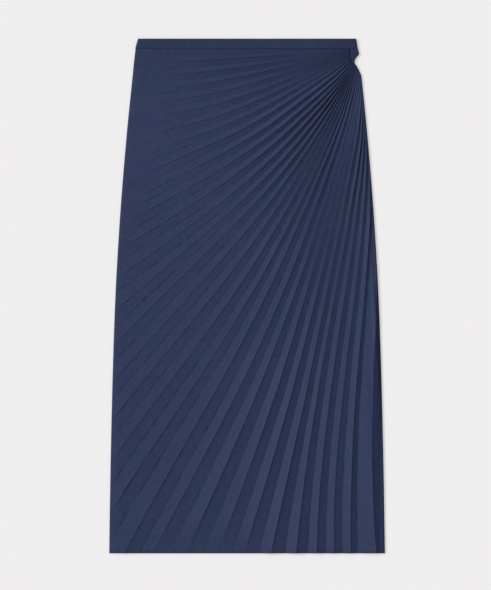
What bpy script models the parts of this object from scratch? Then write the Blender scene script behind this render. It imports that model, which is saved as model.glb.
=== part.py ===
"""Pleated midi skirt, laid flat on a surface with its front up.

Sunray pleats fan out from a short stay at the wearer's left hip (+X) across both panels. The back panel lies
on the surface, and the front panel nests on top of it. +Y runs up to the waist, +Z up from the surface, and
the origin is at the middle of the underside. Metres.
"""

import math
from typing import NamedTuple

import bmesh
import bpy
from mathutils import Vector

# Driving sizes of the whole skirt
LENGTH = 0.800
BAND_HEIGHT = 0.0155
WALL = 0.0012
BAND_WALL = 0.0015
GAP = 0.0003
WAIST_Y = LENGTH / 2
HEM_Y = -LENGTH / 2

# Pleats
FOLDS = 30
VALLEY_AT = 0.53      # where the valley lies between one ridge and the next
WIDE_RIDGE = 29       # this pleat lies open, with a wide face before its ridge
WIDE_VALLEY_AT = 0.24
VALLEY_FLAT = 0.08    # half the width of the flat pressed into each valley, in pleats
EDGE_RELIEF = 0.5     # share of the relief left at the side seam and the hem
EDGE_FADE = 0.06      # share of a fold's length over which the relief fades to that
EDGE_FOLDS = 0.7      # the first and the last pleat flatten over this many pleats
FIRST_SIDE_FOLD = 24  # from here on a fold starts on the side seam, whatever its start_x
CORNER_FOLDS = (18.0, 19.0)  # the line that runs out exactly at the hem's corner lies between these
CORNER_HALVINGS = 40  # how often the stretch between them is halved to find it
STATIONS = (0.0, 0.02, 0.05, 0.10, 0.17, 0.26, 0.38, 0.52, 0.66, 0.80, 0.92, 1.0)

# Waistband ends
BAND_CORNER = 0.0015
BAND_LEFT_PROUD = 0.0005
BAND_RIGHT_IN = 0.0011
CORNER_STEPS = 3

# The hip stay's free edge, from the band down round the notch: (x, drop below the waist)
STAY_EDGE = (
    (0.1725, 0.0158),
    (0.1742, 0.0238),
    (0.1737, 0.0250),
    (0.1711, 0.0283),
    (0.1687, 0.0314),
    (0.1676, 0.0344),
    (0.1675, 0.0372),
    (0.1682, 0.0387),
)
STAY_SHIFT = 0.0004    # how far the stay lies clear of the pleats, along +X and along +Y
STAY_LAST_FOLD = 14.0  # the stay's tip lies where this fold starts

NAVY = (0.036, 0.046, 0.104, 1.0)
NAVY_BAND = (0.032, 0.041, 0.086, 1.0)


class Side(NamedTuple):
    """Half the flat width at a drop below the waist."""

    drop: float
    half_width: float


class Guide(NamedTuple):
    """One fold line: where it leaves the hip, and where it runs out at the side seam or the hem."""

    fold: float
    start_x: float
    start_drop: float
    leave: float       # degrees from straight down, positive towards the right hip
    end_run: float     # distance down the side seam from the waist, then along the hem from its corner
    arrive: float      # degrees, as leave
    hold_start: float  # how strongly the line holds its direction at the hip, 1 is even
    hold_end: float


class Rise(NamedTuple):
    """How far the pleats stand up, as a share of their width, at a distance from the hip along a fold."""

    reach: float
    fold_1: float
    fold_4: float
    fold_8: float
    fold_13: float
    fold_18: float
    fold_22: float
    fold_25: float
    fold_28: float


SIDES = (
    Side(0.000, 0.1696),
    Side(0.016, 0.1733),
    Side(0.064, 0.1785),
    Side(0.157, 0.1878),
    Side(0.282, 0.1978),
    Side(0.406, 0.2049),
    Side(0.531, 0.2091),
    Side(0.655, 0.2120),
    Side(0.800, 0.2144),
)

GUIDES = (
    Guide(0, 0.1615, 0.0158, 90.0, 0.0158, 90.0, 1.00, 1.00),
    Guide(2, 0.1615, 0.0170, 81.0, 0.0580, 87.0, 2.20, 1.10),
    Guide(5, 0.1615, 0.0230, 68.0, 0.1260, 80.0, 2.20, 1.05),
    Guide(8, 0.1615, 0.0285, 54.0, 0.2270, 63.0, 1.80, 1.35),
    Guide(11, 0.1650, 0.0385, 41.0, 0.3270, 60.0, 1.10, 1.10),
    Guide(14, 0.1670, 0.0395, 28.0, 0.4760, 44.0, 1.05, 1.25),
    Guide(17, 0.1680, 0.0400, 19.0, 0.6580, 35.0, 1.05, 0.85),
    Guide(18, 0.1690, 0.0410, 16.0, 0.7370, 32.0, 1.00, 0.75),
    Guide(19, 0.1705, 0.0425, 15.0, 0.8230, 27.0, 1.05, 0.70),
    Guide(20, 0.1715, 0.0450, 13.0, 0.8670, 26.0, 1.25, 0.65),
    Guide(21, 0.1735, 0.0480, 9.0, 0.9180, 24.0, 0.90, 0.75),
    Guide(22, 0.1750, 0.0515, 7.0, 0.9660, 21.0, 0.75, 0.80),
    Guide(23, 0.1770, 0.0560, 6.0, 1.0080, 17.0, 0.75, 0.90),
    Guide(24, 0.1785, 0.0620, 3.0, 1.0500, 12.0, 0.60, 1.00),
    Guide(25, 0.1795, 0.0690, -2.0, 1.0900, 5.0, 0.70, 1.30),
    Guide(26, 0.1800, 0.0780, -3.0, 1.1220, 1.0, 0.85, 1.15),
    Guide(27, 0.1820, 0.0960, -5.0, 1.1490, -2.0, 0.90, 1.00),
    Guide(28, 0.1895, 0.1730, -3.0, 1.1740, -1.0, 0.90, 1.30),
    Guide(29, 0.2025, 0.3470, 2.0, 1.2150, -5.0, 1.00, 1.05),
    Guide(30, 0.2130, 0.7250, -1.0, 1.2288, -1.0, 1.00, 1.00),
)

RISE_FOLDS = (1.0, 4.0, 8.5, 13.5, 18.0, 22.0, 25.5, 28.5)
RISES = (
    Rise(0.000, 0.05, 0.05, 0.08, 0.14, 0.14, 0.16, 0.20, 0.06),
    Rise(0.025, 0.08, 0.08, 0.18, 0.25, 0.24, 0.10, 0.25, 0.08),
    Rise(0.070, 0.10, 0.07, 0.14, 0.25, 0.22, 0.06, 0.25, 0.10),
    Rise(0.130, 0.12, 0.09, 0.15, 0.22, 0.10, 0.05, 0.22, 0.10),
    Rise(0.220, 0.12, 0.07, 0.08, 0.16, 0.11, 0.08, 0.13, 0.11),
    Rise(0.320, 0.02, 0.02, 0.02, 0.04, 0.14, 0.12, 0.12, 0.15),
    Rise(0.500, 0.02, 0.02, 0.04, 0.03, 0.05, 0.16, 0.18, 0.12),
    Rise(0.650, 0.02, 0.02, 0.03, 0.03, 0.04, 0.12, 0.17, 0.12),
    Rise(0.900, 0.02, 0.02, 0.03, 0.04, 0.04, 0.06, 0.14, 0.12),
)


def smooth_through(rows, value_name, x, x_name="fold"):
    """The value at x on a smooth curve through the rows that never overshoots them."""
    xs = [getattr(row, x_name) for row in rows]
    ys = [getattr(row, value_name) for row in rows]
    last = len(xs) - 1
    slopes = [(ys[i + 1] - ys[i]) / (xs[i + 1] - xs[i]) for i in range(last)]

    def tangent(i):
        if i == 0 or i == last:
            return slopes[min(i, last - 1)]
        before, after = slopes[i - 1], slopes[i]
        if before * after <= 0.0:
            return 0.0
        return 2.0 * before * after / (before + after)

    x = min(max(x, xs[0]), xs[last])
    i = max(j for j in range(last) if xs[j] <= x)
    width = xs[i + 1] - xs[i]
    t = (x - xs[i]) / width
    rise_out = tangent(i) * width
    rise_in = tangent(i + 1) * width
    return hermite(ys[i], rise_out, ys[i + 1], rise_in, t)


def hermite(start, leaving, end, arriving, t):
    """A cubic from start to end with the given tangents, for numbers or vectors."""
    t2 = t * t
    t3 = t2 * t
    near_start = 2.0 * t3 - 3.0 * t2 + 1.0
    near_end = 3.0 * t2 - 2.0 * t3
    return start * near_start + leaving * (t3 - 2.0 * t2 + t) + end * near_end + arriving * (t3 - t2)


def half_width(drop):
    return smooth_through(SIDES, "half_width", drop, "drop")


def hip_point(fold):
    """Where a fold starts: on the hip stay, or further down on the left side seam."""
    drop = smooth_through(GUIDES, "start_drop", fold)
    on_side_seam = fold >= FIRST_SIDE_FOLD
    x = half_width(drop) if on_side_seam else smooth_through(GUIDES, "start_x", fold)
    return Vector((x, WAIST_Y - drop))


def far_point(fold):
    """Where a fold ends: on the right side seam, or on the hem."""
    run = smooth_through(GUIDES, "end_run", fold)
    if run < LENGTH:
        return Vector((-half_width(run), WAIST_Y - run))
    return Vector((run - LENGTH - half_width(LENGTH), HEM_Y))


def direction(degrees):
    """The unit direction at an angle from straight down, positive towards -X."""
    return Vector((-math.sin(math.radians(degrees)), -math.cos(math.radians(degrees))))


def fold_point(fold, along):
    """The point a share of the way along a fold line."""
    start = hip_point(fold)
    end = far_point(fold)
    chord = (end - start).length
    leaving = direction(smooth_through(GUIDES, "leave", fold))
    leaving *= chord * smooth_through(GUIDES, "hold_start", fold)
    arriving = direction(smooth_through(GUIDES, "arrive", fold))
    arriving *= chord * smooth_through(GUIDES, "hold_end", fold)
    return hermite(start, leaving, end, arriving, along)


def pleat_width(fold, along):
    """The distance across one pleat, square to its fold lines."""
    half_pleat = 0.5
    short_way = 0.01
    low = max(fold - half_pleat, 0.0)
    high = min(fold + half_pleat, float(FOLDS))
    across = (fold_point(high, along) - fold_point(low, along)) / (high - low)
    before = max(along - short_way, 0.0)
    after = min(along + short_way, 1.0)
    run = (fold_point(fold, after) - fold_point(fold, before)).normalized()
    return abs(across.x * run.y - across.y * run.x)


def pleat_lines():
    """The fold lines of a panel as (fold, share of the full rise): valleys are 0 and ridges 1."""
    lines = [(0.0, 0.0)]
    for ridge in range(1, FOLDS + 1):
        valley = ridge - 1 + (WIDE_VALLEY_AT if ridge == WIDE_RIDGE else VALLEY_AT)
        lines.append((valley - VALLEY_FLAT, 0.0))
        lines.append((valley + VALLEY_FLAT, 0.0))
        lines.append((float(ridge), 1.0))
    return with_corner_line(lines)


def with_corner_line(lines):
    """Adds the line that ends exactly at the hem's corner, on the face that it falls in."""
    low, high = CORNER_FOLDS
    for _ in range(CORNER_HALVINGS):
        middle = (low + high) / 2
        if smooth_through(GUIDES, "end_run", middle) < LENGTH:
            low = middle
        else:
            high = middle
    after = next(i for i, (fold, _) in enumerate(lines) if fold > high)
    (fold_a, share_a), (fold_b, share_b) = lines[after - 1], lines[after]
    share = share_a + (share_b - share_a) * (high - fold_a) / (fold_b - fold_a)
    return lines[:after] + [(high, share)] + lines[after:]


def between(xs, ys, x):
    """The value at x on straight lines through the points, level beyond them."""
    for i in range(len(xs) - 1):
        if x < xs[i + 1]:
            share = max((x - xs[i]) / (xs[i + 1] - xs[i]), 0.0)
            return ys[i] + (ys[i + 1] - ys[i]) * share
    return ys[-1]


def rise_share(fold, reach):
    """How far a pleat stands up, as a share of its width."""
    by_row = [between(RISE_FOLDS, row[1:], fold) for row in RISES]
    return between([row.reach for row in RISES], by_row, reach)


def relief(fold, share, along):
    """The height of a fold line above the panel's lowest level."""
    to_end = min((1.0 - along) / EDGE_FADE, 1.0)
    fade = EDGE_RELIEF + (1.0 - EDGE_RELIEF) * to_end
    if min(fold, FOLDS - fold) < EDGE_FOLDS:
        fade *= min(fold, FOLDS - fold) / EDGE_FOLDS
    reach = (fold_point(fold, along) - hip_point(fold)).length
    return share * fade * rise_share(fold, reach) * pleat_width(fold, along)


def cloth(name, grid, base, wall, material):
    """A closed wall of cloth over a grid of (x, y, height) points, with its underside at base."""
    shape = bmesh.new()
    under = [[shape.verts.new((x, y, base + z)) for x, y, z in line] for line in grid]
    upper = [[shape.verts.new((x, y, base + z + wall)) for x, y, z in line] for line in grid]
    for i in range(len(grid) - 1):
        for j in range(len(grid[0]) - 1):
            for layer in (under, upper):
                shape.faces.new((layer[i][j], layer[i + 1][j], layer[i][j + 1]))
                shape.faces.new((layer[i + 1][j], layer[i + 1][j + 1], layer[i][j + 1]))
    rim = [(i, 0) for i in range(len(grid))]
    rim += [(len(grid) - 1, j) for j in range(1, len(grid[0]))]
    rim += [(i, len(grid[0]) - 1) for i in range(len(grid) - 2, -1, -1)]
    rim += [(0, j) for j in range(len(grid[0]) - 2, 0, -1)]
    for (i, j), (k, m) in zip(rim, rim[1:] + rim[:1]):
        shape.faces.new((under[i][j], under[k][m], upper[k][m], upper[i][j]))
    return finished(name, shape, material)


def flat_piece(name, outline, base, wall, material):
    """A closed flat piece of cloth inside an outline of (x, y) points."""
    shape = bmesh.new()
    under = [shape.verts.new((x, y, base)) for x, y in outline]
    upper = [shape.verts.new((x, y, base + wall)) for x, y in outline]
    shape.faces.new(under)
    shape.faces.new(upper)
    for i, vertex in enumerate(under):
        after = (i + 1) % len(under)
        shape.faces.new((vertex, under[after], upper[after], upper[i]))
    return finished(name, shape, material)


def finished(name, shape, material):
    bmesh.ops.recalc_face_normals(shape, faces=shape.faces)
    mesh = bpy.data.meshes.new(name)
    shape.to_mesh(mesh)
    shape.free()
    mesh.materials.append(material)
    piece = bpy.data.objects.new(name, mesh)
    bpy.context.scene.collection.objects.link(piece)
    return piece


def cloth_material(name, colour):
    material = bpy.data.materials.new(name)
    material.use_nodes = True
    shader = material.node_tree.nodes["Principled BSDF"]
    shader.inputs["Base Color"].default_value = colour
    shader.inputs["Roughness"].default_value = 0.75
    shader.inputs["Metallic"].default_value = 0.0
    return material


def skirt_grid():
    """The pleated panel as lines of (x, y, height) points, one line for each fold line."""
    grid = []
    for fold, share in pleat_lines():
        line = []
        for along in STATIONS:
            place = fold_point(fold, along)
            line.append((place.x, place.y, relief(fold, share, along)))
        grid.append(line)
    return grid


def rounded_corner(corner, towards, away):
    """Points round a corner: towards is the unit direction back along the outline, away the next one."""
    centre = Vector(corner) + (Vector(towards) + Vector(away)) * BAND_CORNER
    points = []
    for step in range(CORNER_STEPS + 1):
        turn = math.pi / 2 * step / CORNER_STEPS
        offset = -Vector(away) * math.cos(turn) - Vector(towards) * math.sin(turn)
        points.append(tuple(centre + offset * BAND_CORNER))
    return points


def band_outline():
    """The waistband's half, anticlockwise from its lower end at the right hip."""
    top = half_width(0.0)
    foot = half_width(BAND_HEIGHT)
    foot_y = WAIST_Y - BAND_HEIGHT
    left_foot = (-foot - BAND_LEFT_PROUD, foot_y)
    right_foot = (foot - BAND_RIGHT_IN, foot_y)
    right_top = rounded_corner((top, WAIST_Y), (0.0, -1.0), (-1.0, 0.0))
    left_top = rounded_corner((-top, WAIST_Y), (1.0, 0.0), (0.0, -1.0))
    return [left_foot, right_foot] + right_top + left_top


def stay_outline():
    """The hip stay: its free edge, then back up along the pleats that are gathered onto it."""
    free_edge = [(x, WAIST_Y - drop) for x, drop in STAY_EDGE]
    gathered = []
    steps = 8
    for step in range(steps + 1):
        place = hip_point(STAY_LAST_FOLD * (1.0 - step / steps))
        gathered.append((place.x + STAY_SHIFT, place.y + STAY_SHIFT))
    gathered[-1] = (gathered[-1][0], free_edge[0][1])
    return free_edge + gathered


def main():
    for old in list(bpy.data.objects):
        bpy.data.objects.remove(old)
    pleated = cloth_material("pleated_cloth", NAVY)
    band = cloth_material("band_cloth", NAVY_BAND)
    grid = skirt_grid()
    cloth("skirt_back", grid, 0.0, WALL, pleated)
    cloth("skirt_front", grid, WALL + GAP, WALL, pleated)
    flat_piece("waistband_back", band_outline(), 0.0, BAND_WALL, band)
    flat_piece("waistband_front", band_outline(), BAND_WALL + GAP, BAND_WALL, band)
    flat_piece("hip_stay_back", stay_outline(), 0.0, WALL, band)
    flat_piece("hip_stay_front", stay_outline(), WALL + GAP, WALL, band)


main()
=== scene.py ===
"""The looks of a pleated midi skirt that lies flat, front up, on a pale floor.

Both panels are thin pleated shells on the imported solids' own fold lines, apart from small shifts near the
hip. The pleats fan out from the stay at the wearer's left hip (+X). +Y runs up to the waist and +Z up from
the floor. Metres.
"""

import math

import bmesh
import bpy
import numpy as np
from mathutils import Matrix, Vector


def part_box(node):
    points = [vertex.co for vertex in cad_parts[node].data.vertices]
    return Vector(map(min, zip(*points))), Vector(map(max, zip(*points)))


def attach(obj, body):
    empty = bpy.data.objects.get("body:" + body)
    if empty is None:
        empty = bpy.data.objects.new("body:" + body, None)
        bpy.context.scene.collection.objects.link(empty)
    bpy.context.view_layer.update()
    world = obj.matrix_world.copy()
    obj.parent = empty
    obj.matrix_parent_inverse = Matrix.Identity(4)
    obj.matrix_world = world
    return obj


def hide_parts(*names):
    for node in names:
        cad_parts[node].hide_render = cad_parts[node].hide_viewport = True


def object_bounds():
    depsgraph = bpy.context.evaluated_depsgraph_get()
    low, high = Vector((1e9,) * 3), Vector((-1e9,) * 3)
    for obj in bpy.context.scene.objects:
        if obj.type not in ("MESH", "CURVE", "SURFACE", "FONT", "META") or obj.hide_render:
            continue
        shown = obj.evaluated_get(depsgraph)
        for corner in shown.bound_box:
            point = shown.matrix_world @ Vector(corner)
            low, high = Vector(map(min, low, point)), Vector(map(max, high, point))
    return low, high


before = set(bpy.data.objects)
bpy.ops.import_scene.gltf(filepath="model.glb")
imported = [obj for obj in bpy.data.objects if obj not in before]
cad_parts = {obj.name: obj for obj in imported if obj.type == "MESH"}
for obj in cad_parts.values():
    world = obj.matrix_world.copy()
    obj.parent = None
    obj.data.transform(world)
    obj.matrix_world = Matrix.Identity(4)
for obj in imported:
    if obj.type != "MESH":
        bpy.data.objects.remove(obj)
cad_low, cad_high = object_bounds()

# Sizes read from the frame
WAIST_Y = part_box("waistband_front")[1].y
BAND_FOOT_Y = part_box("waistband_front")[0].y
HEM_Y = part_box("skirt_front")[0].y
LENGTH = WAIST_Y - HEM_Y
BACK_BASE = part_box("skirt_back")[0].z
FRONT_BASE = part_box("skirt_front")[0].z
BAND_BACK_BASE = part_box("waistband_back")[0].z
BAND_FRONT_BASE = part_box("waistband_front")[0].z
BAND_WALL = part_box("waistband_front")[1].z - BAND_FRONT_BASE
STAY_BACK_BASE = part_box("hip_stay_back")[0].z
STAY_FRONT_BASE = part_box("hip_stay_front")[0].z

# The picture, seen from straight above
PICTURE_SHARE = 0.872   # the share of the picture's height that the skirt takes up
CAMERA_X = -0.0024
CAMERA_Y = 0.0015
CAMERA_HEIGHT = 6.0

# The cloth itself
CLOTH_WALL = 0.0009
CLOTH_LIFT = 0.0003    # the thin cloth lies at the top of the solid's thicker wall
EDGE_WALL = 0.5        # a cloth's wall thins to this share at its edges
EDGE_LIFT = 0.2        # and its underside rises by this share of the wall there
THREAD_SPACING = 0.0005
FIRST_NAVY = (0.0228, 0.0300, 0.0800)    # the two hues that the navy drifts between
SECOND_NAVY = (0.0205, 0.0325, 0.0775)
FIRST_BAND_NAVY = (0.0215, 0.0290, 0.0730)
SECOND_BAND_NAVY = (0.0196, 0.0310, 0.0715)
DEEP_SHADE = (0.0015, 0.0040, 0.0220)    # the colour that the navy is painted towards as painted shade in the deepest folds
CLOTH_ROUGHNESS = 0.55
PATCHES_SEED = 10.7    # which of the noise's patterns the patches of the two hues take
MOTTLE = (0.86, 1.14)  # the least and the most tone of the fine mottle
CREASE_SHADING_RANGE = (0.35, 1.95)   # how far the painted shade and highlights of the crease lines weaken and strengthen along their way
WEAVE_TONE = (0.93, 1.21)   # the tone between the threads and on top of them

# Half the flat width at a drop below the waist
SIDES = np.array([
    # drop, half_width
    (0.000, 0.1696),
    (0.016, 0.1733),
    (0.064, 0.1785),
    (0.157, 0.1878),
    (0.282, 0.1978),
    (0.406, 0.2049),
    (0.531, 0.2091),
    (0.655, 0.2120),
    (0.800, 0.2144),
])

# Fold lines: where each leaves the hip and runs out at the side seam or the hem. start_drop is the start's
# distance below the waist; end_run is the distance down the side seam, then along the hem; leave and arrive
# are degrees from straight down, positive towards -X; out and in are how strongly the line holds those
# directions.
START_X, START_DROP, LEAVE, END_RUN, ARRIVE, OUT, IN = range(1, 8)
GUIDES = np.array([
    # fold, start_x, start_drop, leave, end_run, arrive, out, in
    (0, 0.1615, 0.0158, 90.0, 0.0158, 90.0, 1.00, 1.00),
    (2, 0.1615, 0.0170, 81.0, 0.0580, 87.0, 2.20, 1.10),
    (5, 0.1615, 0.0230, 68.0, 0.1260, 80.0, 2.20, 1.05),
    (8, 0.1615, 0.0285, 54.0, 0.2270, 63.0, 1.80, 1.35),
    (11, 0.1650, 0.0385, 41.0, 0.3270, 60.0, 1.10, 1.10),
    (14, 0.1670, 0.0395, 28.0, 0.4760, 44.0, 1.05, 1.25),
    (17, 0.1680, 0.0400, 19.0, 0.6580, 35.0, 1.05, 0.85),
    (18, 0.1690, 0.0410, 16.0, 0.7370, 32.0, 1.00, 0.75),
    (19, 0.1705, 0.0425, 15.0, 0.8230, 27.0, 1.05, 0.70),
    (20, 0.1715, 0.0450, 13.0, 0.8670, 26.0, 1.25, 0.65),
    (21, 0.1735, 0.0480, 9.0, 0.9180, 24.0, 0.90, 0.75),
    (22, 0.1750, 0.0515, 7.0, 0.9660, 21.0, 0.75, 0.80),
    (23, 0.1770, 0.0560, 6.0, 1.0080, 17.0, 0.75, 0.90),
    (24, 0.1785, 0.0620, 3.0, 1.0500, 12.0, 0.60, 1.00),
    (25, 0.1795, 0.0690, -2.0, 1.0900, 5.0, 0.70, 1.30),
    (26, 0.1800, 0.0780, -3.0, 1.1220, 1.0, 0.85, 1.15),
    (27, 0.1820, 0.0960, -5.0, 1.1490, -2.0, 0.90, 1.00),
    (28, 0.1895, 0.1730, -3.0, 1.1740, -1.0, 0.90, 1.30),
    (29, 0.2025, 0.3470, 2.0, 1.2150, -5.0, 1.00, 1.05),
    (30, 0.2130, 0.7250, -1.0, 1.2288, -1.0, 1.00, 1.00),
])
FIRST_SIDE_FOLD = 24   # from here on a fold starts on the side seam, whatever its start_x
FOLDS = 30
CORNER_FOLDS = (18.0, 19.0)   # the line that runs out exactly at the hem's corner lies between these
CORNER_HALVINGS = 50          # how often the stretch between them is halved to find it
VALLEY_BEHIND = 0.47   # how far before its ridge a pleat's valley lies, in pleats
WIDE_RIDGE = 29        # this pleat lies open, with a wide face before its ridge
WIDE_BEHIND = 0.76
HALF_PLEAT = 0.5

# Pleat profile: shares of a face, from its ridge down to the valley, then from there up to the next ridge
DOWN_STEPS = (0.0, 0.045, 0.11, 0.18, 0.50, 0.82, 0.95)
UP_STEPS = (0.0, 0.07, 0.18, 0.50, 0.82, 0.94)
CREASES = np.array([
    # fold, share of the rise right before the ridge, right after it, and right after the valley
    (0, 0.12, 0.50, 0.05),
    (14, 0.12, 0.50, 0.05),
    (20, 0.08, 0.40, 0.05),
    (25, 0.04, 0.25, 0.03),
    (30, 0.04, 0.22, 0.03),
])
CREASE_POWER = 9

# The creases' painted light as tones of the cloth: a painted highlight on each ridge, a painted shadow right
# after it and painted shade in each valley. The share of a face, down from its ridge or up from its valley,
# and the tone there
DOWN_CREASE_SHADING = (
    (0.0, 1.09), (0.045, 0.74), (0.11, 0.88), (0.18, 1.0),
    (0.82, 1.0), (0.95, 0.85), (1.0, 0.74),
)
UP_CREASE_SHADING = (
    (0.0, 0.74), (0.07, 0.98), (0.18, 1.0),
    (0.82, 1.0), (0.94, 1.07), (1.0, 1.09),
)
LINES_MEAN = 0.85      # the painted crease lines' strength, how far it drifts, and over what length of a fold
LINES_DRIFT = 0.55
LINES_DRIFT_LENGTH = 0.16
LINES_DRIFT_STEP = 3.1   # how far apart neighbouring folds lie in that drift
LINES_SEED = 5.0
FAR_LINES = 0.35       # how much stronger the painted crease lines are far from the hip
FAR_LINES_FROM = 0.2   # distances from the hip
FAR_LINES_FULL = 0.35
FAR_LINES_FOLDS = 20   # only the folds before this one get them

# How much darker a pleat's face is that turns from the light, deep in the gathers: by the distance from the
# hip, and by fold. The face that turns to the light gets brighter by the share LIT of that.
GATHER_SHADE = (
    (0.0, 0.20), (0.03, 0.58), (0.07, 0.52), (0.10, 0.38),
    (0.17, 0.14), (0.25, 0.0), (1.0, 0.0),
)
GATHER_FOLDS = (
    (0, 0.1), (6, 0.15), (9, 0.9), (12, 1.0), (21, 1.0),
    (22, 0.4), (24, 0.4), (25, 0.7), (30, 0.5),
)
LIT = 0.8

# The hip stay's free edge, from the band down round the notch
STAY_EDGE = np.array([
    # x, drop
    (0.1725, 0.0158),
    (0.1742, 0.0238),
    (0.1737, 0.0250),
    (0.1711, 0.0283),
    (0.1687, 0.0314),
    (0.1676, 0.0344),
    (0.1674, 0.0368),
    (0.1677, 0.0386),
    (0.1684, 0.0401),
])
STAY_TUCK = 0.0002     # the stay is sewn under the panels' edges by this
STAY_LAST_FOLD = 17.0  # the stay's tip lies where this fold starts
STAY_ROWS = 40
STAY_COLUMNS = 10

# The waistband: how far its lower corners stand out at -X and lie in at +X, and its soft section
BAND_LEFT_PROUD = 0.0005
BAND_RIGHT_IN = 0.0011
BAND_RINGS = 140
BAND_RING_POINTS = 28
BAND_ACROSS_POWER = 0.22   # 1 is an ellipse, and near 0 is a box
BAND_UP_POWER = 0.6
BAND_END_PLUMP = 0.35      # the share of its thickness at its ends, and how far in that reaches
BAND_END_REACH = 0.012     # as a share of its half length

# The band's tone along X: a painted highlight as a streak, then painted shade towards the +X end
STREAK_X = 0.095
STREAK_REACH = 0.012
STREAK_LIGHT = 0.06
END_SHADE_X = 0.10
END_SHADE_REACH = 0.06
END_SHADE = 0.20

# How far the pleats stand up, as a share of their width, and the cloth's tone there: painted shade in the
# gathers, and painted light where the tone is above 1
TABLE_FOLDS = (1.0, 4.0, 8.5, 13.5, 18.0, 22.0, 25.5, 28.5)
RISES = np.array([
    # reach from the hip, then the share at each of TABLE_FOLDS
    (0.000, 0.05, 0.05, 0.05, 0.10, 0.10, 0.16, 0.22, 0.06),
    (0.025, 0.05, 0.08, 0.14, 0.46, 0.26, 0.10, 0.42, 0.12),
    (0.070, 0.10, 0.08, 0.11, 0.40, 0.23, 0.05, 0.42, 0.14),
    (0.130, 0.14, 0.10, 0.15, 0.20, 0.10, 0.06, 0.24, 0.12),
    (0.220, 0.14, 0.07, 0.08, 0.13, 0.09, 0.08, 0.11, 0.11),
    (0.320, 0.02, 0.02, 0.02, 0.03, 0.12, 0.10, 0.11, 0.15),
    (0.500, 0.02, 0.02, 0.04, 0.02, 0.04, 0.14, 0.16, 0.11),
    (0.650, 0.02, 0.02, 0.03, 0.03, 0.03, 0.10, 0.15, 0.11),
    (0.900, 0.02, 0.02, 0.03, 0.04, 0.04, 0.06, 0.14, 0.12),
])
TONES = np.array([
    # reach from the hip, then the tone at each of TABLE_FOLDS
    (0.000, 0.62, 0.48, 0.48, 0.46, 0.46, 0.98, 0.78, 0.80),
    (0.013, 0.64, 0.48, 0.47, 0.41, 0.40, 1.02, 0.72, 0.76),
    (0.022, 0.76, 0.55, 0.60, 0.34, 0.30, 1.05, 0.78, 0.68),
    (0.040, 0.80, 0.60, 0.80, 0.34, 0.30, 1.05, 0.70, 0.82),
    (0.080, 0.81, 0.74, 0.90, 0.50, 0.46, 1.03, 0.58, 0.88),
    (0.130, 0.87, 0.89, 0.93, 0.63, 0.67, 0.87, 0.67, 0.90),
    (0.220, 0.96, 1.04, 1.00, 0.92, 0.78, 0.80, 0.82, 1.01),
    (0.320, 1.01, 1.12, 1.13, 1.08, 0.97, 0.84, 0.85, 1.01),
    (0.500, 1.03, 1.04, 1.04, 1.08, 1.05, 1.02, 0.93, 1.02),
    (0.900, 1.03, 1.03, 1.03, 1.04, 1.00, 1.05, 1.10, 1.02),
])
# How far a fold line lies towards the next one, in pleats: the gathers are pushed towards +X
SHIFTS = np.array([
    # reach from the hip, then the shift at each of TABLE_FOLDS
    (0.000, 0.15, 0.20, 0.25, 0.45, 0.50, 0.35, 0.30, 0.05),
    (0.042, 0.12, 0.18, 0.22, 0.40, 0.50, 0.40, 0.35, 0.07),
    (0.060, 0.10, 0.15, 0.12, 0.30, 0.45, 0.40, 0.32, 0.14),
    (0.085, 0.08, 0.10, 0.03, 0.17, 0.34, 0.33, 0.34, 0.12),
    (0.120, 0.05, 0.10, 0.04, 0.09, 0.16, 0.20, 0.16, 0.07),
    (0.170, 0.03, 0.07, 0.10, 0.11, 0.01, 0.03, 0.00, 0.06),
    (0.250, 0.00, 0.00, 0.02, 0.09, 0.00, -0.05, 0.00, 0.06),
    (0.360, 0.00, 0.00, 0.00, 0.00, 0.10, 0.02, 0.00, 0.04),
    (0.500, 0.00, 0.00, 0.00, 0.00, 0.06, 0.13, 0.05, 0.05),
    (0.650, 0.00, 0.00, 0.00, 0.00, 0.00, 0.08, 0.03, 0.04),
    (0.900, 0.00, 0.00, 0.00, 0.00, 0.00, 0.00, 0.00, 0.00),
])
# Places that are pressed flat, with their creases nearly gone
PRESSED = (
    # fold, reach, folds_wide, reach_wide, amount
    (16.6, 0.145, 1.45, 0.075, 0.94),
    (22.4, 0.160, 1.75, 0.140, 0.88),
    (4.5, 0.065, 3.2, 0.035, 0.85),
)
# Short stretches where the cloth right after a ridge is tucked deep, with painted shade there
TUCK_SHADES = (
    # fold, reach, folds_wide, reach_wide, amount
    (18.15, 0.110, 0.20, 0.050, 0.30),
    (19.12, 0.155, 0.16, 0.060, 0.55),
    (20.12, 0.175, 0.14, 0.055, 0.55),
    (24.05, 0.125, 0.14, 0.055, 0.45),
    (25.15, 0.110, 0.14, 0.050, 0.35),
)
PRESSED_RISE = 0.2     # the share of a pleat's height that stays where it is pressed flat
UNEVEN_RISE = 0.14     # how much the heights drift along a fold, and over what length
UNEVEN_RISE_LENGTH = 0.5
UNEVEN_RISE_STEP = 2.4   # how far apart neighbouring folds lie in that drift
UNEVEN_RISE_SEED = 1.0
FIRST_PLEAT = 0.8      # the first and the last pleat flatten out over this many pleats
LAST_PLEAT = 0.7

# How the pleats run out before the -X seam, soften at the +X seam, and soften over the hem's turning
RUN_OUT = 0.02         # distance from the -X seam, and how much longer it is for the uppermost folds
RUN_OUT_UPPER = 0.16
UPPER_FOLDS = 13.0
RUN_OUT_HEIGHT = 0.35  # the share of the height that is left at the -X seam
SEAM_FADE = 0.008
SEAM_HEIGHT = 0.45     # the share of the height that is left at the +X seam
SEAM_DROP = 0.0005     # the front closes on the back by this at the side seams
SEAM_DROP_REACH = 0.010
HEM_SOFT = 0.9         # how much softer the pleats are at the hem, in the middle folds
HEM_SOFT_FOLD = 21.5
HEM_SOFT_FOLDS = 2.3
HEM_SOFT_DEPTH = 0.060
HEM_SOFT_UNEVEN = 0.012
HEM_SOFT_STEP = 2.1    # how far apart neighbouring folds lie on the sine that makes the depth uneven

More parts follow.
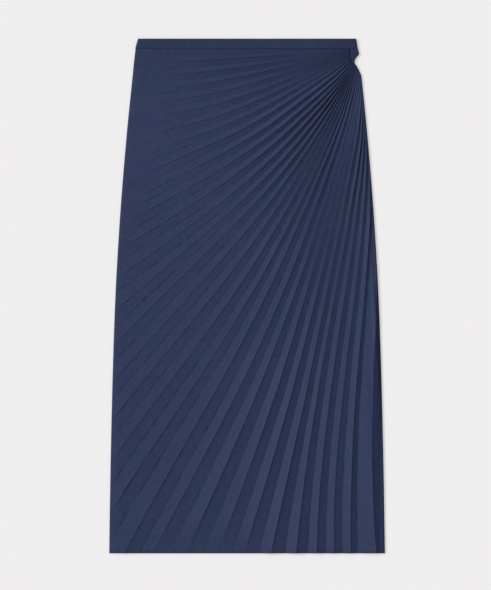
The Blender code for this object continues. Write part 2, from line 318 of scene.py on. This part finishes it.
# What makes the drift over the panels uneven: factors with no short pattern, for the folds and down them
SCATTER_ACROSS = (12.9898, 78.233, 43758.5453)
SCATTER_DOWN = (39.3461, 11.135, 24634.6345)
DRIFT_ACROSS_RATE = 0.83
DRIFT_DOWN_RATE = 0.71
DRIFT_BEND = 1.7
DRIFT_SIZES = 4
DRIFT_MOST = 2.1       # the sizes' sum, which brings the drift back to between -1 and 1

# The painted shade along the panel's turned edges: the least tone, and the distance over which it goes back
# to 1
HEM_EDGE = (0.86, 0.002)
PLUS_X_EDGE = (0.50, 0.0024)
MINUS_X_EDGE = (0.80, 0.0016)
BAND_SHADOW_REACH = 0.002   # the band's shade on the panel below it, at -X and how much more at +X
BAND_SHADOW = 0.08
BAND_SHADOW_MORE = 0.35
BAND_SHADOW_FROM = -0.11    # the extra shade starts at this X and is full after this reach
BAND_SHADOW_GROWTH = 0.25
WIDE_LIGHT = 0.10           # how much lighter the open pleat's wide face is, as painted light
LAST_SHADE = 0.20           # how much darker the face after it is, as painted shade

STATIONS = 124         # points along a fold line, closer together near the hip
HIP_CROWDING = 0.35
EDGE_STEP = 0.0012     # the last step before the edge, as a share of the fold line
FLOOR_GAP = 0.0001     # the floor lies below the skirt by this


def smooth_through(rows, column, x, key=0):
    """Values at x on a smooth curve through a table's rows that never overshoots them."""
    xs = rows[:, key]
    ys = rows[:, column]
    widths = np.diff(xs)
    slopes = np.diff(ys) / widths
    tangents = np.concatenate([slopes[:1], np.zeros(len(xs) - 2), slopes[-1:]])
    before, after = slopes[:-1], slopes[1:]
    rising = before * after > 0.0
    tangents[1:-1][rising] = (2.0 * before * after)[rising] / (before + after)[rising]
    x = np.clip(x, xs[0], xs[-1])
    i = np.clip(np.searchsorted(xs, x, side="right") - 1, 0, len(xs) - 2)
    t = (x - xs[i]) / widths[i]
    return hermite(ys[i], tangents[i] * widths[i], ys[i + 1], tangents[i + 1] * widths[i], t)


def hermite(start, leaving, end, arriving, t):
    """A cubic from start to end with the given tangents."""
    t2 = t * t
    t3 = t2 * t
    near_start = 2.0 * t3 - 3.0 * t2 + 1.0
    near_end = 3.0 * t2 - 2.0 * t3
    return start * near_start + leaving * (t3 - 2.0 * t2 + t) + end * near_end + arriving * (t3 - t2)


def half_width(drop):
    """Half the skirt's flat width at a drop below the waist."""
    return smooth_through(SIDES, 1, drop)


def direction(degrees):
    """Unit directions at angles from straight down, positive towards -X."""
    angle = np.radians(degrees)
    return np.stack([-np.sin(angle), -np.cos(angle)], -1)


def fold_points(folds, along):
    """Points on fold lines, as an array (fold, share along, xy)."""
    drop = smooth_through(GUIDES, START_DROP, folds)
    on_side = folds >= FIRST_SIDE_FOLD
    start_x = np.where(on_side, half_width(drop), smooth_through(GUIDES, START_X, folds))
    start = np.stack([start_x, WAIST_Y - drop], -1)
    run = smooth_through(GUIDES, END_RUN, folds)
    on_seam = run < LENGTH
    end_x = np.where(on_seam, -half_width(run), run - LENGTH - half_width(LENGTH))
    end_y = np.where(on_seam, WAIST_Y - run, HEM_Y)
    end = np.stack([end_x, end_y], -1)
    chord = np.linalg.norm(end - start, axis=-1)
    leaving = direction(smooth_through(GUIDES, LEAVE, folds))
    leaving = leaving * (chord * smooth_through(GUIDES, OUT, folds))[:, None]
    arriving = direction(smooth_through(GUIDES, ARRIVE, folds))
    arriving = arriving * (chord * smooth_through(GUIDES, IN, folds))[:, None]
    t = along[None, :, None]
    return hermite(start[:, None], leaving[:, None], end[:, None], arriving[:, None], t)


def shifted_points(folds, along):
    """Points on the fold lines, moved towards the next line by SHIFTS."""
    points = fold_points(folds, along)
    distance = np.linalg.norm(points - points[:, :1], axis=-1)
    ahead = fold_points(np.minimum(folds + HALF_PLEAT, FOLDS), along) - points
    inner = np.clip(folds, 0.0, 1.0) * np.clip((FOLDS - folds) / (1.0 + HALF_PLEAT), 0.0, 1.0)
    shift = over_panel(SHIFTS, folds, distance) * inner[:, None]
    return points + ahead * (shift / HALF_PLEAT)[..., None]


def face_rise(u, at_ridge, at_valley):
    """The height up a pleat's face, from 0 at the valley to 1 at the ridge, with a crisp crease at each."""
    straight = 1.0 - at_ridge - at_valley
    return straight * u + at_ridge * u ** CREASE_POWER + at_valley * (1.0 - (1.0 - u) ** CREASE_POWER)


def crease(column, fold):
    """A crease's share of the rise at a fold."""
    return float(np.interp(fold, CREASES[:, 0], CREASES[:, column]))


def corner_fold():
    """The fold number that runs out exactly at the hem's -X corner."""
    low, high = CORNER_FOLDS
    for _ in range(CORNER_HALVINGS):
        middle = (low + high) / 2
        if smooth_through(GUIDES, END_RUN, np.array([middle]))[0] < LENGTH:
            low = middle
        else:
            high = middle
    return high


def pleat_lines():
    """The panel's lines as arrays: fold number, share of the height from valley to ridge, and the tone of
    the creases' painted light.
    """
    rows = []
    for ridge in range(1, FOLDS + 1):
        behind = WIDE_BEHIND if ridge == WIDE_RIDGE else VALLEY_BEHIND
        for u in DOWN_STEPS:
            fold = ridge - 1 + (1.0 - behind) * u
            share = face_rise(1.0 - u, crease(2, ridge - 1), 0.0)
            rows.append((fold, share, np.interp(u, *zip(*DOWN_CREASE_SHADING))))
        for u in UP_STEPS:
            share = face_rise(u, crease(1, ridge), crease(3, ridge))
            rows.append((ridge - behind + behind * u, share, np.interp(u, *zip(*UP_CREASE_SHADING))))
    rows.append((float(FOLDS), 1.0, 1.0))
    rows = np.array(rows)
    corner = corner_fold()
    at = int(np.searchsorted(rows[:, 0], corner))
    height_share, tone = (np.interp(corner, rows[:, 0], rows[:, column]) for column in (1, 2))
    return np.insert(rows, at, [corner, height_share, tone], axis=0).T


def stations():
    """Shares along a fold line: close together at the hip, with a narrow last step for the edge."""
    t = np.linspace(0.0, 1.0, STATIONS - 1)
    spaced = HIP_CROWDING * t ** 2 + (1.0 - HIP_CROWDING) * t
    return np.sort(np.append(spaced, 1.0 - EDGE_STEP))


def scattered_angle(seed, number, factors):
    """An angle that looks random, the same on every run."""
    seed_step, number_step, spread = factors
    value = math.sin(seed * seed_step + number * number_step) * spread
    return (value - math.floor(value)) * 2 * math.pi


def drift(seed, across_folds, distance, length):
    """A smooth uneven field between -1 and 1 over the panel: sines of a few sizes, bent by each other."""
    total = np.zeros(np.broadcast(across_folds, distance).shape)
    for k in range(1, DRIFT_SIZES + 1):
        across = across_folds * (k * DRIFT_ACROSS_RATE) + scattered_angle(seed, k, SCATTER_ACROSS)
        down = distance * (k * DRIFT_DOWN_RATE * 2 * math.pi / length)
        down = down + scattered_angle(seed, k, SCATTER_DOWN)
        total = total + np.sin(across + DRIFT_BEND * np.sin(down)) / k
    return total / DRIFT_MOST


def over_panel(rows, folds, distance):
    """A table's value at each fold and distance from the hip, as an array (fold, share along)."""
    by_row = np.stack([np.interp(folds, TABLE_FOLDS, row[1:]) for row in rows], -1)
    place = np.interp(distance, rows[:, 0], np.arange(len(rows)))
    row = np.minimum(place.astype(int), len(rows) - 2)
    share = place - row
    line = np.arange(len(folds))[:, None]
    return by_row[line, row] * (1.0 - share) + by_row[line, row + 1] * share


def spared(rows, power, folds, distance):
    """The share that a table of places leaves at each point. A high power makes the places flat inside."""
    left = np.ones(distance.shape)
    for fold, reach, folds_wide, reach_wide, amount in rows:
        across = ((folds[:, None] - fold) / folds_wide) ** power
        down = ((distance - reach) / reach_wide) ** power
        left = left * (1.0 - amount * np.exp(-across - down))
    return left


def pressed(folds, distance):
    """The share of the creases that is left at each point."""
    return spared(PRESSED, 4, folds, distance)


def relief(folds, shares, along, points, distance):
    """The pleats' heights above a panel's lowest level, as an array (fold, share along)."""
    low = np.clip(folds - HALF_PLEAT, 0.0, FOLDS)
    high = np.clip(folds + HALF_PLEAT, 0.0, FOLDS)
    across = (fold_points(high, along) - fold_points(low, along)) / (high - low)[:, None, None]
    run = np.gradient(points, axis=1)
    run = run / np.linalg.norm(run, axis=-1, keepdims=True)
    pitch = np.abs(across[..., 0] * run[..., 1] - across[..., 1] * run[..., 0])
    rise = over_panel(RISES, folds, distance) * faded(PRESSED_RISE, pressed(folds, distance))
    number = np.round(folds)[:, None]
    uneven = drift(UNEVEN_RISE_SEED, number * UNEVEN_RISE_STEP, distance, UNEVEN_RISE_LENGTH)
    rise = rise * (1.0 + UNEVEN_RISE * uneven)
    ends = np.clip(folds / FIRST_PLEAT, 0.0, 1.0) * np.clip((FOLDS - folds) / LAST_PLEAT, 0.0, 1.0)
    rise = rise * side_fade(folds, points) * hem_fade(folds, points) * ends[:, None]
    return shares[:, None] * rise * pitch


def crease_lines(folds, tones, distance, points):
    """The painted crease lines' strength at each point: 0 is none, below 0 is painted shade and above 0 is a
    painted highlight.
    """
    number = np.round(folds)[:, None]
    uneven = drift(LINES_SEED, number * LINES_DRIFT_STEP, distance, LINES_DRIFT_LENGTH)
    strength = LINES_MEAN + LINES_DRIFT * uneven
    far = eased((distance - FAR_LINES_FROM) / (FAR_LINES_FULL - FAR_LINES_FROM))
    far = 1.0 + FAR_LINES * far * (folds < FAR_LINES_FOLDS)[:, None]
    fades = far_fade(folds, points) * hem_fade(folds, points) * pressed(folds, distance)
    return (tones[:, None] - 1.0) * strength * far * fades


def panel_tone(folds, distance, points):
    """The cloth's painted shade and light at each point: in the deep gathers, the tucks, along the panel's
    edges, on the open pleat and under the band.
    """
    tone = over_panel(TONES, folds, distance) * spared(TUCK_SHADES, 2, folds, distance)
    tone = tone * painted_edge_shade(points) * gather_tone(folds, distance)
    return tone * open_pleat_tone(folds) * band_shadow(points)


def painted_edge_shade(points):
    """Painted shade along the hem and the side seams, where the cloth turns."""
    to_minus_x, to_plus_x = to_seams(points)
    tone = 1.0
    places = ((HEM_EDGE, points[..., 1] - HEM_Y), (PLUS_X_EDGE, to_plus_x), (MINUS_X_EDGE, to_minus_x))
    for (least, reach), inwards in places:
        tone = tone * faded(least, np.clip(inwards / reach, 0.0, 1.0))
    return tone


def gather_tone(folds, distance):
    """Deep in the gathers, each pleat's faces turn from the light and to it."""
    turned = np.where((folds % 1.0) < 1.0 - VALLEY_BEHIND, 1.0, -LIT)[:, None]
    deep = np.interp(distance, *zip(*GATHER_SHADE)) * np.interp(folds, *zip(*GATHER_FOLDS))[:, None]
    return 1.0 - turned * deep * pressed(folds, distance)


def open_pleat_tone(folds):
    """The open pleat's wide face gets painted light, and the face after it painted shade."""
    change = 0.1
    wide = eased((folds - WIDE_RIDGE + WIDE_BEHIND) / change)
    after = eased((folds - WIDE_RIDGE) / change)
    return 1.0 + (WIDE_LIGHT * wide - (WIDE_LIGHT + LAST_SHADE) * after)[:, None]


def band_shadow(points):
    """The waistband's narrow shade on the panel below it, deeper towards +X."""
    near = np.clip(1.0 - (BAND_FOOT_Y - points[..., 1]) / BAND_SHADOW_REACH, 0.0, 1.0)
    more = eased((points[..., 0] - BAND_SHADOW_FROM) / BAND_SHADOW_GROWTH)
    return 1.0 - near * (BAND_SHADOW + BAND_SHADOW_MORE * more)


def to_seams(points):
    """The distances from each point to the panel's -X edge and its +X edge."""
    half = half_width(np.clip(WAIST_Y - points[..., 1], 0.0, LENGTH))
    return half + points[..., 0], half - points[..., 0]


def eased(share):
    """A share from 0 to 1 that leaves 0 and reaches 1 gently."""
    share = np.clip(share, 0.0, 1.0)
    return share * share * (3.0 - 2.0 * share)


def faded(least, share):
    """From the least value at share 0 up to 1 at share 1."""
    return least + (1.0 - least) * share


def far_fade(folds, points):
    """How far the pleats have run out before the -X seam, most in the upper part: 0 at the seam."""
    upper = np.clip(1.0 - folds / UPPER_FOLDS, 0.0, 1.0)[:, None]
    return eased(to_seams(points)[0] / (RUN_OUT + RUN_OUT_UPPER * upper))


def side_fade(folds, points):
    """The pleats' height at the seams, as a share: they run out at one and soften at the other."""
    near = faded(SEAM_HEIGHT, eased(to_seams(points)[1] / SEAM_FADE))
    return faded(RUN_OUT_HEIGHT, far_fade(folds, points)) * near


def hem_fade(folds, points):
    """The pleats soften over the hem's turning, most in the middle folds."""
    to_hem = points[..., 1] - HEM_Y
    middle = np.exp(-((folds - HEM_SOFT_FOLD) / HEM_SOFT_FOLDS) ** 4)[:, None]
    depth = HEM_SOFT_DEPTH + HEM_SOFT_UNEVEN * np.sin(folds * HEM_SOFT_STEP)[:, None]
    return 1.0 - HEM_SOFT * middle * (1.0 - eased(to_hem / depth))


def shell_mesh(name, under, upper):
    """A closed shell between two grids of points, each an array (line, station, xyz)."""
    lines, places = upper.shape[:2]
    number = np.arange(lines * places).reshape(lines, places)
    a, b = number[:-1, :-1].ravel(), number[1:, :-1].ravel()
    c, d = number[1:, 1:].ravel(), number[:-1, 1:].ravel()
    top = np.stack([a, b, c, d], -1) + lines * places
    bottom = np.stack([d, c, b, a], -1)
    rim = np.concatenate([number[:, 0], number[-1, 1:], number[-2::-1, -1], number[0, -2:0:-1]])
    after = np.roll(rim, -1)
    side = np.stack([rim + lines * places, after + lines * places, after, rim], -1)
    faces = np.concatenate([top, bottom, side])
    corners = np.concatenate([under.reshape(-1, 3), upper.reshape(-1, 3)])
    mesh = bpy.data.meshes.new(name)
    mesh.from_pydata(corners.tolist(), [], faces.tolist())
    mesh.validate()
    shape = bmesh.new()
    shape.from_mesh(mesh)
    bmesh.ops.recalc_face_normals(shape, faces=shape.faces)
    shape.to_mesh(mesh)
    shape.free()
    mesh.shade_smooth()
    piece = bpy.data.objects.new(name, mesh)
    bpy.context.scene.collection.objects.link(piece)
    return piece


def cloth_shell(name, points, low):
    """A thin cloth over a grid of xy points, with its underside at the given heights and thinner edges."""
    wall = np.full(low.shape, CLOTH_WALL)
    for edge in (np.s_[0], np.s_[-1], np.s_[:, 0], np.s_[:, -1]):
        wall[edge] = CLOTH_WALL * EDGE_WALL
        low[edge] += CLOTH_WALL * EDGE_LIFT
    under = np.concatenate([points, low[..., None]], -1)
    upper = np.concatenate([points, (low + wall)[..., None]], -1)
    return shell_mesh(name, under, upper)


def panel(name, node, base, seam_drop, material):
    """One pleated panel of the skirt, as a thin shell on its solid's fold lines."""
    folds, shares, tones = pleat_lines()
    along = stations()
    points = shifted_points(folds, along)
    points[0, :, 1] = BAND_FOOT_Y
    distance = np.linalg.norm(points - points[:, :1], axis=-1)
    low = base + CLOTH_LIFT + relief(folds, shares, along, points, distance)
    to_seam = np.minimum(*to_seams(points))
    low = low - seam_drop * (1.0 - eased(to_seam / SEAM_DROP_REACH))
    piece = cloth_shell(name, points, low)
    # the "tone" layer holds the painted shade and light, the "lines" layer the creases' painted shade and
    # highlights
    set_layer(piece.data, "tone", panel_tone(folds, distance, points))
    set_layer(piece.data, "lines", crease_lines(folds, tones, distance, points))
    piece.data.materials.append(material)
    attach(piece, "root")
    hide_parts(node)
    return piece


def waistband(name, node, base, material):
    """Half of the waistband: a flat folded strip with soft edges."""
    turns = np.linspace(0.0, 2.0 * math.pi, BAND_RING_POINTS, endpoint=False)
    height = WAIST_Y - BAND_FOOT_Y
    across = np.sign(np.cos(turns)) * np.abs(np.cos(turns)) ** BAND_ACROSS_POWER
    up = np.sign(np.sin(turns)) * np.abs(np.sin(turns)) ** BAND_UP_POWER
    rings = []
    for s in np.linspace(-1.0, 1.0, BAND_RINGS):
        plump = min(1.0, BAND_END_PLUMP + (1.0 - abs(s)) / BAND_END_REACH)
        y = BAND_FOOT_Y + height / 2 + across * height / 2
        down = (WAIST_Y - y) / height
        x = s * half_width(np.clip(WAIST_Y - y, 0.0, LENGTH))
        x = x - max(s, 0.0) * BAND_RIGHT_IN * down - max(-s, 0.0) * BAND_LEFT_PROUD * down
        z = base + BAND_WALL / 2 + up * plump * BAND_WALL / 2
        rings.append(np.stack([x, y, z], -1))
    piece = ring_mesh(name, rings)
    piece.data.materials.append(material)
    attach(piece, "root")
    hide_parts(node)
    return piece


def hip_stay(name, node, base, material):
    """The small flat stay between the waistband and the gathered pleats."""
    rows = np.linspace(0.0, 1.0, STAY_ROWS)
    drops = STAY_EDGE[0, 1] + rows * (STAY_EDGE[-1, 1] - STAY_EDGE[0, 1])
    free = np.stack([smooth_through(STAY_EDGE, 0, drops, key=1), WAIST_Y - drops], -1)
    sewn = fold_points(rows * STAY_LAST_FOLD, np.array([0.0]))[:, 0] - STAY_TUCK
    free[0, 1] = BAND_FOOT_Y
    sewn[0, 1] = BAND_FOOT_Y
    across = np.linspace(0.0, 1.0, STAY_COLUMNS)[None, :, None]
    points = sewn[:, None] * (1.0 - across) + free[:, None] * across
    piece = cloth_shell(name, points, np.full(points.shape[:2], base + CLOTH_LIFT))
    # the stay takes the band's painted highlight and painted shade
    set_layer(piece.data, "tone", band_tone(points[..., 0]))
    piece.data.materials.append(material)
    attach(piece, "root")
    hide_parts(node)
    return piece


def band_tone(x):
    """The band's and the stay's tone: a painted highlight as a streak, then painted shade towards the +X
    end.
    """
    streak = STREAK_LIGHT * np.exp(-((x - STREAK_X) / STREAK_REACH) ** 2)
    return 1.0 + streak - END_SHADE * eased((x - END_SHADE_X) / END_SHADE_REACH)


def set_layer(mesh, name, values):
    """Stores a number for every vertex; a shell's under and upper sides share one grid of values."""
    layer = mesh.attributes.new(name, "FLOAT", "POINT")
    layer.data.foreach_set("value", np.resize(values.ravel(), len(mesh.vertices)))


def ring_mesh(name, rings):
    """A closed tube through rings of points, with flat ends."""
    shape = bmesh.new()
    loops = [[shape.verts.new(point) for point in ring] for ring in rings]
    count = len(rings[0])
    for one, two in zip(loops[:-1], loops[1:]):
        for i in range(count):
            j = (i + 1) % count
            shape.faces.new((one[i], one[j], two[j], two[i]))
    shape.faces.new(loops[0])
    shape.faces.new(loops[-1])
    bmesh.ops.recalc_face_normals(shape, faces=shape.faces)
    mesh = bpy.data.meshes.new(name)
    shape.to_mesh(mesh)
    shape.free()
    mesh.shade_smooth()
    # the band's painted highlight and painted shade
    set_layer(mesh, "tone", band_tone(np.array([vertex.co.x for vertex in mesh.vertices])))
    piece = bpy.data.objects.new(name, mesh)
    bpy.context.scene.collection.objects.link(piece)
    return piece


def add_node(tree, kind, **properties):
    """Adds a shader node with its properties set."""
    node = tree.nodes.new(kind)
    for name, value in properties.items():
        setattr(node, name, value)
    return node


def noise(tree, place, scale, detail, **properties):
    """A noise texture's value at a place."""
    node = add_node(tree, "ShaderNodeTexNoise", **properties)
    node.inputs["Scale"].default_value = scale
    node.inputs["Detail"].default_value = detail
    tree.links.new(place, node.inputs["Vector"])
    return node


def product(tree, one, other):
    """One value times another."""
    node = add_node(tree, "ShaderNodeMath", operation="MULTIPLY")
    tree.links.new(one, node.inputs[0])
    tree.links.new(other, node.inputs[1])
    return node.outputs["Value"]


def patchy_navy(tree, place, first, second):
    """The cloth's colour, which drifts between two hues in soft patches."""
    patches = noise(tree, place, 14.0, 3.0, noise_dimensions="4D")
    patches.inputs["W"].default_value = PATCHES_SEED
    blend = add_node(tree, "ShaderNodeMix", data_type="RGBA")
    blend.inputs["A"].default_value = (*first, 1.0)
    blend.inputs["B"].default_value = (*second, 1.0)
    spread = map_range(tree, patches.outputs["Fac"], (0.35, 0.65), (0.0, 1.0))
    tree.links.new(spread, blend.inputs["Factor"])
    return blend.outputs["Result"]


def mottled_tone(tree, place):
    """The painted shade and light of the mesh's "tone" layer, with a fine mottle."""
    mottle = noise(tree, place, 220.0, 4.0)
    broad = add_node(tree, "ShaderNodeAttribute", attribute_name="tone")
    tone = map_range(tree, mottle.outputs["Fac"], (0.3, 0.7), MOTTLE)
    return product(tree, tone, broad.outputs["Fac"])


def crease_tone(tree, place):
    """One plus the painted shade and highlights of the crease lines in the mesh's "lines" layer, which
    weaken and strengthen on their way.
    """
    lines = add_node(tree, "ShaderNodeAttribute", attribute_name="lines")
    crease_shading_noise = noise(tree, place, 110.0, 1.0)
    node = add_node(tree, "ShaderNodeMath", operation="MULTIPLY_ADD")
    tree.links.new(lines.outputs["Fac"], node.inputs[0])
    tree.links.new(map_range(tree, crease_shading_noise.outputs["Fac"], (0.38, 0.62), CREASE_SHADING_RANGE), node.inputs[1])
    node.inputs[2].default_value = 1.0
    return node.outputs["Value"]


def cloth_material(name, first, second):
    """A fine plain-woven cloth: uneven colour, painted shade and highlights of the creases and gathers in
    its tone, a weave in the bump and a soft sheen.
    """
    material = bpy.data.materials.new(name)
    material.use_nodes = True
    tree = material.node_tree
    shader = tree.nodes["Principled BSDF"]
    shader.inputs["Roughness"].default_value = CLOTH_ROUGHNESS
    shader.inputs["Specular IOR Level"].default_value = 0.12
    shader.inputs["Sheen Weight"].default_value = 0.02
    shader.inputs["Sheen Roughness"].default_value = 0.45
    shader.inputs["Sheen Tint"].default_value = (0.55, 0.62, 0.85, 1.0)
    place = add_node(tree, "ShaderNodeTexCoord").outputs["Object"]
    bumps, threads = weave(tree, place)
    tone = product(tree, mottled_tone(tree, place), crease_tone(tree, place))
    # the navy is mixed towards DEEP_SHADE by the painted shade and light, the mottle and the weave
    shade = add_node(tree, "ShaderNodeMix", data_type="RGBA", clamp_factor=False)
    shade.inputs["A"].default_value = (*DEEP_SHADE, 1.0)
    tree.links.new(patchy_navy(tree, place, first, second), shade.inputs["B"])
    tree.links.new(product(tree, tone, threads), shade.inputs["Factor"])
    tree.links.new(shade.outputs["Result"], shader.inputs["Base Color"])
    tree.links.new(bumps, shader.inputs["Normal"])
    return material


def map_range(tree, value, source, target):
    """A value moved from one range to another."""
    node = add_node(tree, "ShaderNodeMapRange")
    node.inputs["From Min"].default_value, node.inputs["From Max"].default_value = source
    node.inputs["To Min"].default_value, node.inputs["To Max"].default_value = target
    tree.links.new(value, node.inputs["Value"])
    return node.outputs["Result"]


def weave(tree, place):
    """A plain weave, as a bump and as a tone: threads along both axes, raised where they cross."""
    waves = []
    period_at_scale_one = 0.314
    for bands_direction in ("X", "Y"):
        node = add_node(tree, "ShaderNodeTexWave", bands_direction=bands_direction)
        node.inputs["Scale"].default_value = period_at_scale_one / THREAD_SPACING
        node.inputs["Distortion"].default_value = 0.6
        tree.links.new(place, node.inputs["Vector"])
        waves.append(node.outputs["Fac"])
    cross = product(tree, *waves)
    bump = add_node(tree, "ShaderNodeBump")
    bump.inputs["Strength"].default_value = 0.5
    bump.inputs["Distance"].default_value = 0.00012
    tree.links.new(cross, bump.inputs["Height"])
    return bump.outputs["Normal"], map_range(tree, cross, (0.0, 1.0), WEAVE_TONE)


def camera():
    """Looks straight down with a long lens, the waist at the top of the picture."""
    data = bpy.data.cameras.new("camera")
    shown_height = LENGTH / PICTURE_SHARE
    data.lens = data.sensor_width * CAMERA_HEIGHT / shown_height
    data.clip_end = 50.0
    piece = bpy.data.objects.new("camera", data)
    piece.location = (CAMERA_X, CAMERA_Y, CAMERA_HEIGHT)
    bpy.context.scene.collection.objects.link(piece)
    bpy.context.scene.camera = piece


def floor():
    """A wide pale floor with a faint glow of its own, so that it stays even."""
    mesh = bpy.data.meshes.new("floor")
    reach = 6.0
    corners = [(-reach, -reach, 0.0), (reach, -reach, 0.0), (reach, reach, 0.0), (-reach, reach, 0.0)]
    mesh.from_pydata(corners, [], [(0, 1, 2, 3)])
    piece = bpy.data.objects.new("floor", mesh)
    piece.location.z = cad_low.z - FLOOR_GAP
    bpy.context.scene.collection.objects.link(piece)
    material = bpy.data.materials.new("pale_floor")
    material.use_nodes = True
    shader = material.node_tree.nodes["Principled BSDF"]
    shader.inputs["Base Color"].default_value = (0.40, 0.393, 0.395, 1.0)
    shader.inputs["Emission Color"].default_value = (1.0, 0.98, 0.99, 1.0)
    shader.inputs["Emission Strength"].default_value = 0.435
    shader.inputs["Roughness"].default_value = 0.9
    shader.inputs["Specular IOR Level"].default_value = 0.0
    mesh.materials.append(material)


def lights():
    """A large soft light from -X, a little towards the waist, and an even pale room."""
    scene = bpy.context.scene
    world = bpy.data.worlds.new("studio")
    world.use_nodes = True
    world.node_tree.nodes["Background"].inputs["Color"].default_value = (1.0, 1.0, 1.0, 1.0)
    world.node_tree.nodes["Background"].inputs["Strength"].default_value = 0.55
    scene.world = world
    data = bpy.data.lights.new("key", "SUN")
    data.energy = 2.9
    data.angle = math.radians(30.0)
    key = bpy.data.objects.new("key", data)
    towards_light = Vector((-1.0, 0.30, 0.75))
    key.rotation_euler = towards_light.to_track_quat("Z", "Y").to_euler()
    scene.collection.objects.link(key)
    scene.view_settings.view_transform = "Standard"


camera()
floor()
lights()
pleated = cloth_material("pleated_cloth_finish", FIRST_NAVY, SECOND_NAVY)
band = cloth_material("band_cloth_finish", FIRST_BAND_NAVY, SECOND_BAND_NAVY)
back = panel("skirt_back_cloth", "skirt_back", BACK_BASE, 0.0, pleated)
front = panel("skirt_front_cloth", "skirt_front", FRONT_BASE, SEAM_DROP, pleated)
band_back = waistband("waistband_back_cloth", "waistband_back", BAND_BACK_BASE, band)
band_front = waistband("waistband_front_cloth", "waistband_front", BAND_FRONT_BASE, band)
stay_back = hip_stay("hip_stay_back_cloth", "hip_stay_back", STAY_BACK_BASE, band)
stay_front = hip_stay("hip_stay_front_cloth", "hip_stay_front", STAY_FRONT_BASE, band)
